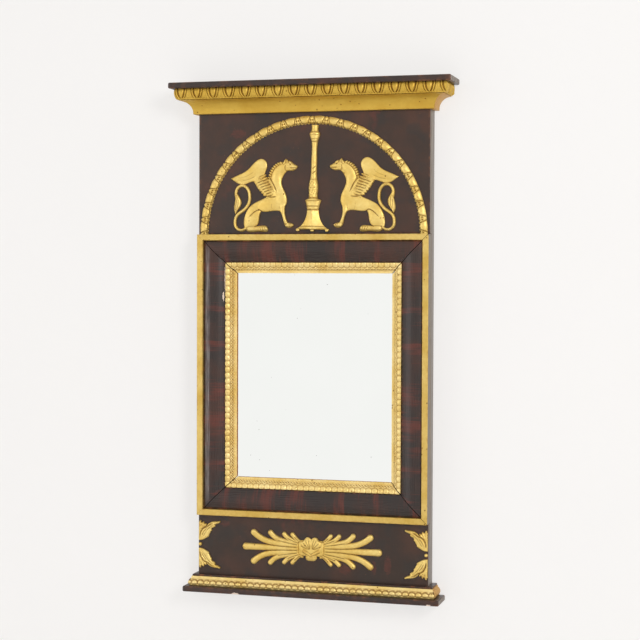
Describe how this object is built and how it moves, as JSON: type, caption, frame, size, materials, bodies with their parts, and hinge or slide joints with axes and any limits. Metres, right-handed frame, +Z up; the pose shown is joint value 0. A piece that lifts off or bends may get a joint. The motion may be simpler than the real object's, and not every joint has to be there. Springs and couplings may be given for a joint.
{
  "type": "wall mirror",
  "caption": "Tall wall mirror in a dark painted, parcel-gilt Empire frame: moulded cornice, griffins under an arch, mitred mirror frame, palmette panel and a hanging ring behind.",
  "frame": {"origin": "centre of the hanging ring's eye as it hangs at rest, on the wall plane behind the mirror", "axes": "+X to the right seen from the front, +Y into the wall, +Z up"},
  "size_m": [0.4766, 0.0738, 0.8499],
  "materials": {
    "gilding": "aged gilding on gesso and bole, satin, darker in the hollows",
    "dark_paint": "brown-black painted and varnished wood, grained with dull red streaks",
    "pine": "bare aged pine",
    "silvered_glass": "old silvered mirror plate with a little foxing",
    "iron": "forged iron, dull"
  },
  "bodies": {
    "mirror_body": {"arch_left": "gilding", "arch_right": "gilding", "back_board": "pine", "back_board_nails": "iron", "base_lip_front": "dark_paint", "base_lip_left": "dark_paint", "base_lip_right": "dark_paint", "base_moulding_front": "gilding", "base_moulding_left": "gilding", "base_moulding_right": "gilding", "bottom_rail": "pine", "candelabrum": "gilding", "corner_leaf_lower_left": "gilding", "corner_leaf_lower_right": "gilding", "corner_leaf_upper_left": "gilding", "corner_leaf_upper_right": "gilding", "cornice_front": "gilding", "cornice_left": "gilding", "cornice_right": "gilding", "edge_beads": "gilding", "egg_strip_front": "gilding", "egg_strip_left": "gilding", "egg_strip_right": "gilding", "fillet_bottom": "gilding", "fillet_left": "gilding", "fillet_right": "gilding", "fillet_top": "gilding", "frame_bottom": "dark_paint", "frame_left": "dark_paint", "frame_nails": "iron", "frame_right": "dark_paint", "frame_top": "dark_paint", "glass_packing": "pine", "griffin_left": "gilding", "griffin_right": "gilding", "hanging_staple": "iron", "lower_cross_rail": "pine", "lower_panel": "dark_paint", "mirror_glass": "silvered_glass", "palmette_knot": "gilding", "palmette_spray_left": "gilding", "palmette_spray_right": "gilding", "panel_nails": "iron", "plinth_board": "dark_paint", "plinth_nails": "iron", "sight_moulding_bottom": "gilding", "sight_moulding_left": "gilding", "sight_moulding_right": "gilding", "sight_moulding_top": "gilding", "stile_left": "pine", "stile_right": "pine", "top_board": "dark_paint", "top_board_nails": "iron", "top_rail": "pine", "upper_cross_rail": "pine", "upper_panel": "dark_paint"},
    "ring": {"hanging_ring": "iron"}
  },
  "joints": [
    {"name": "ring_swing", "type": "hinge", "parent": "mirror_body", "child": "ring", "pos_m": [0, -0.0058, 0.014], "axis": [1, 0, 0], "range_deg": [0, 180]}
  ]
}
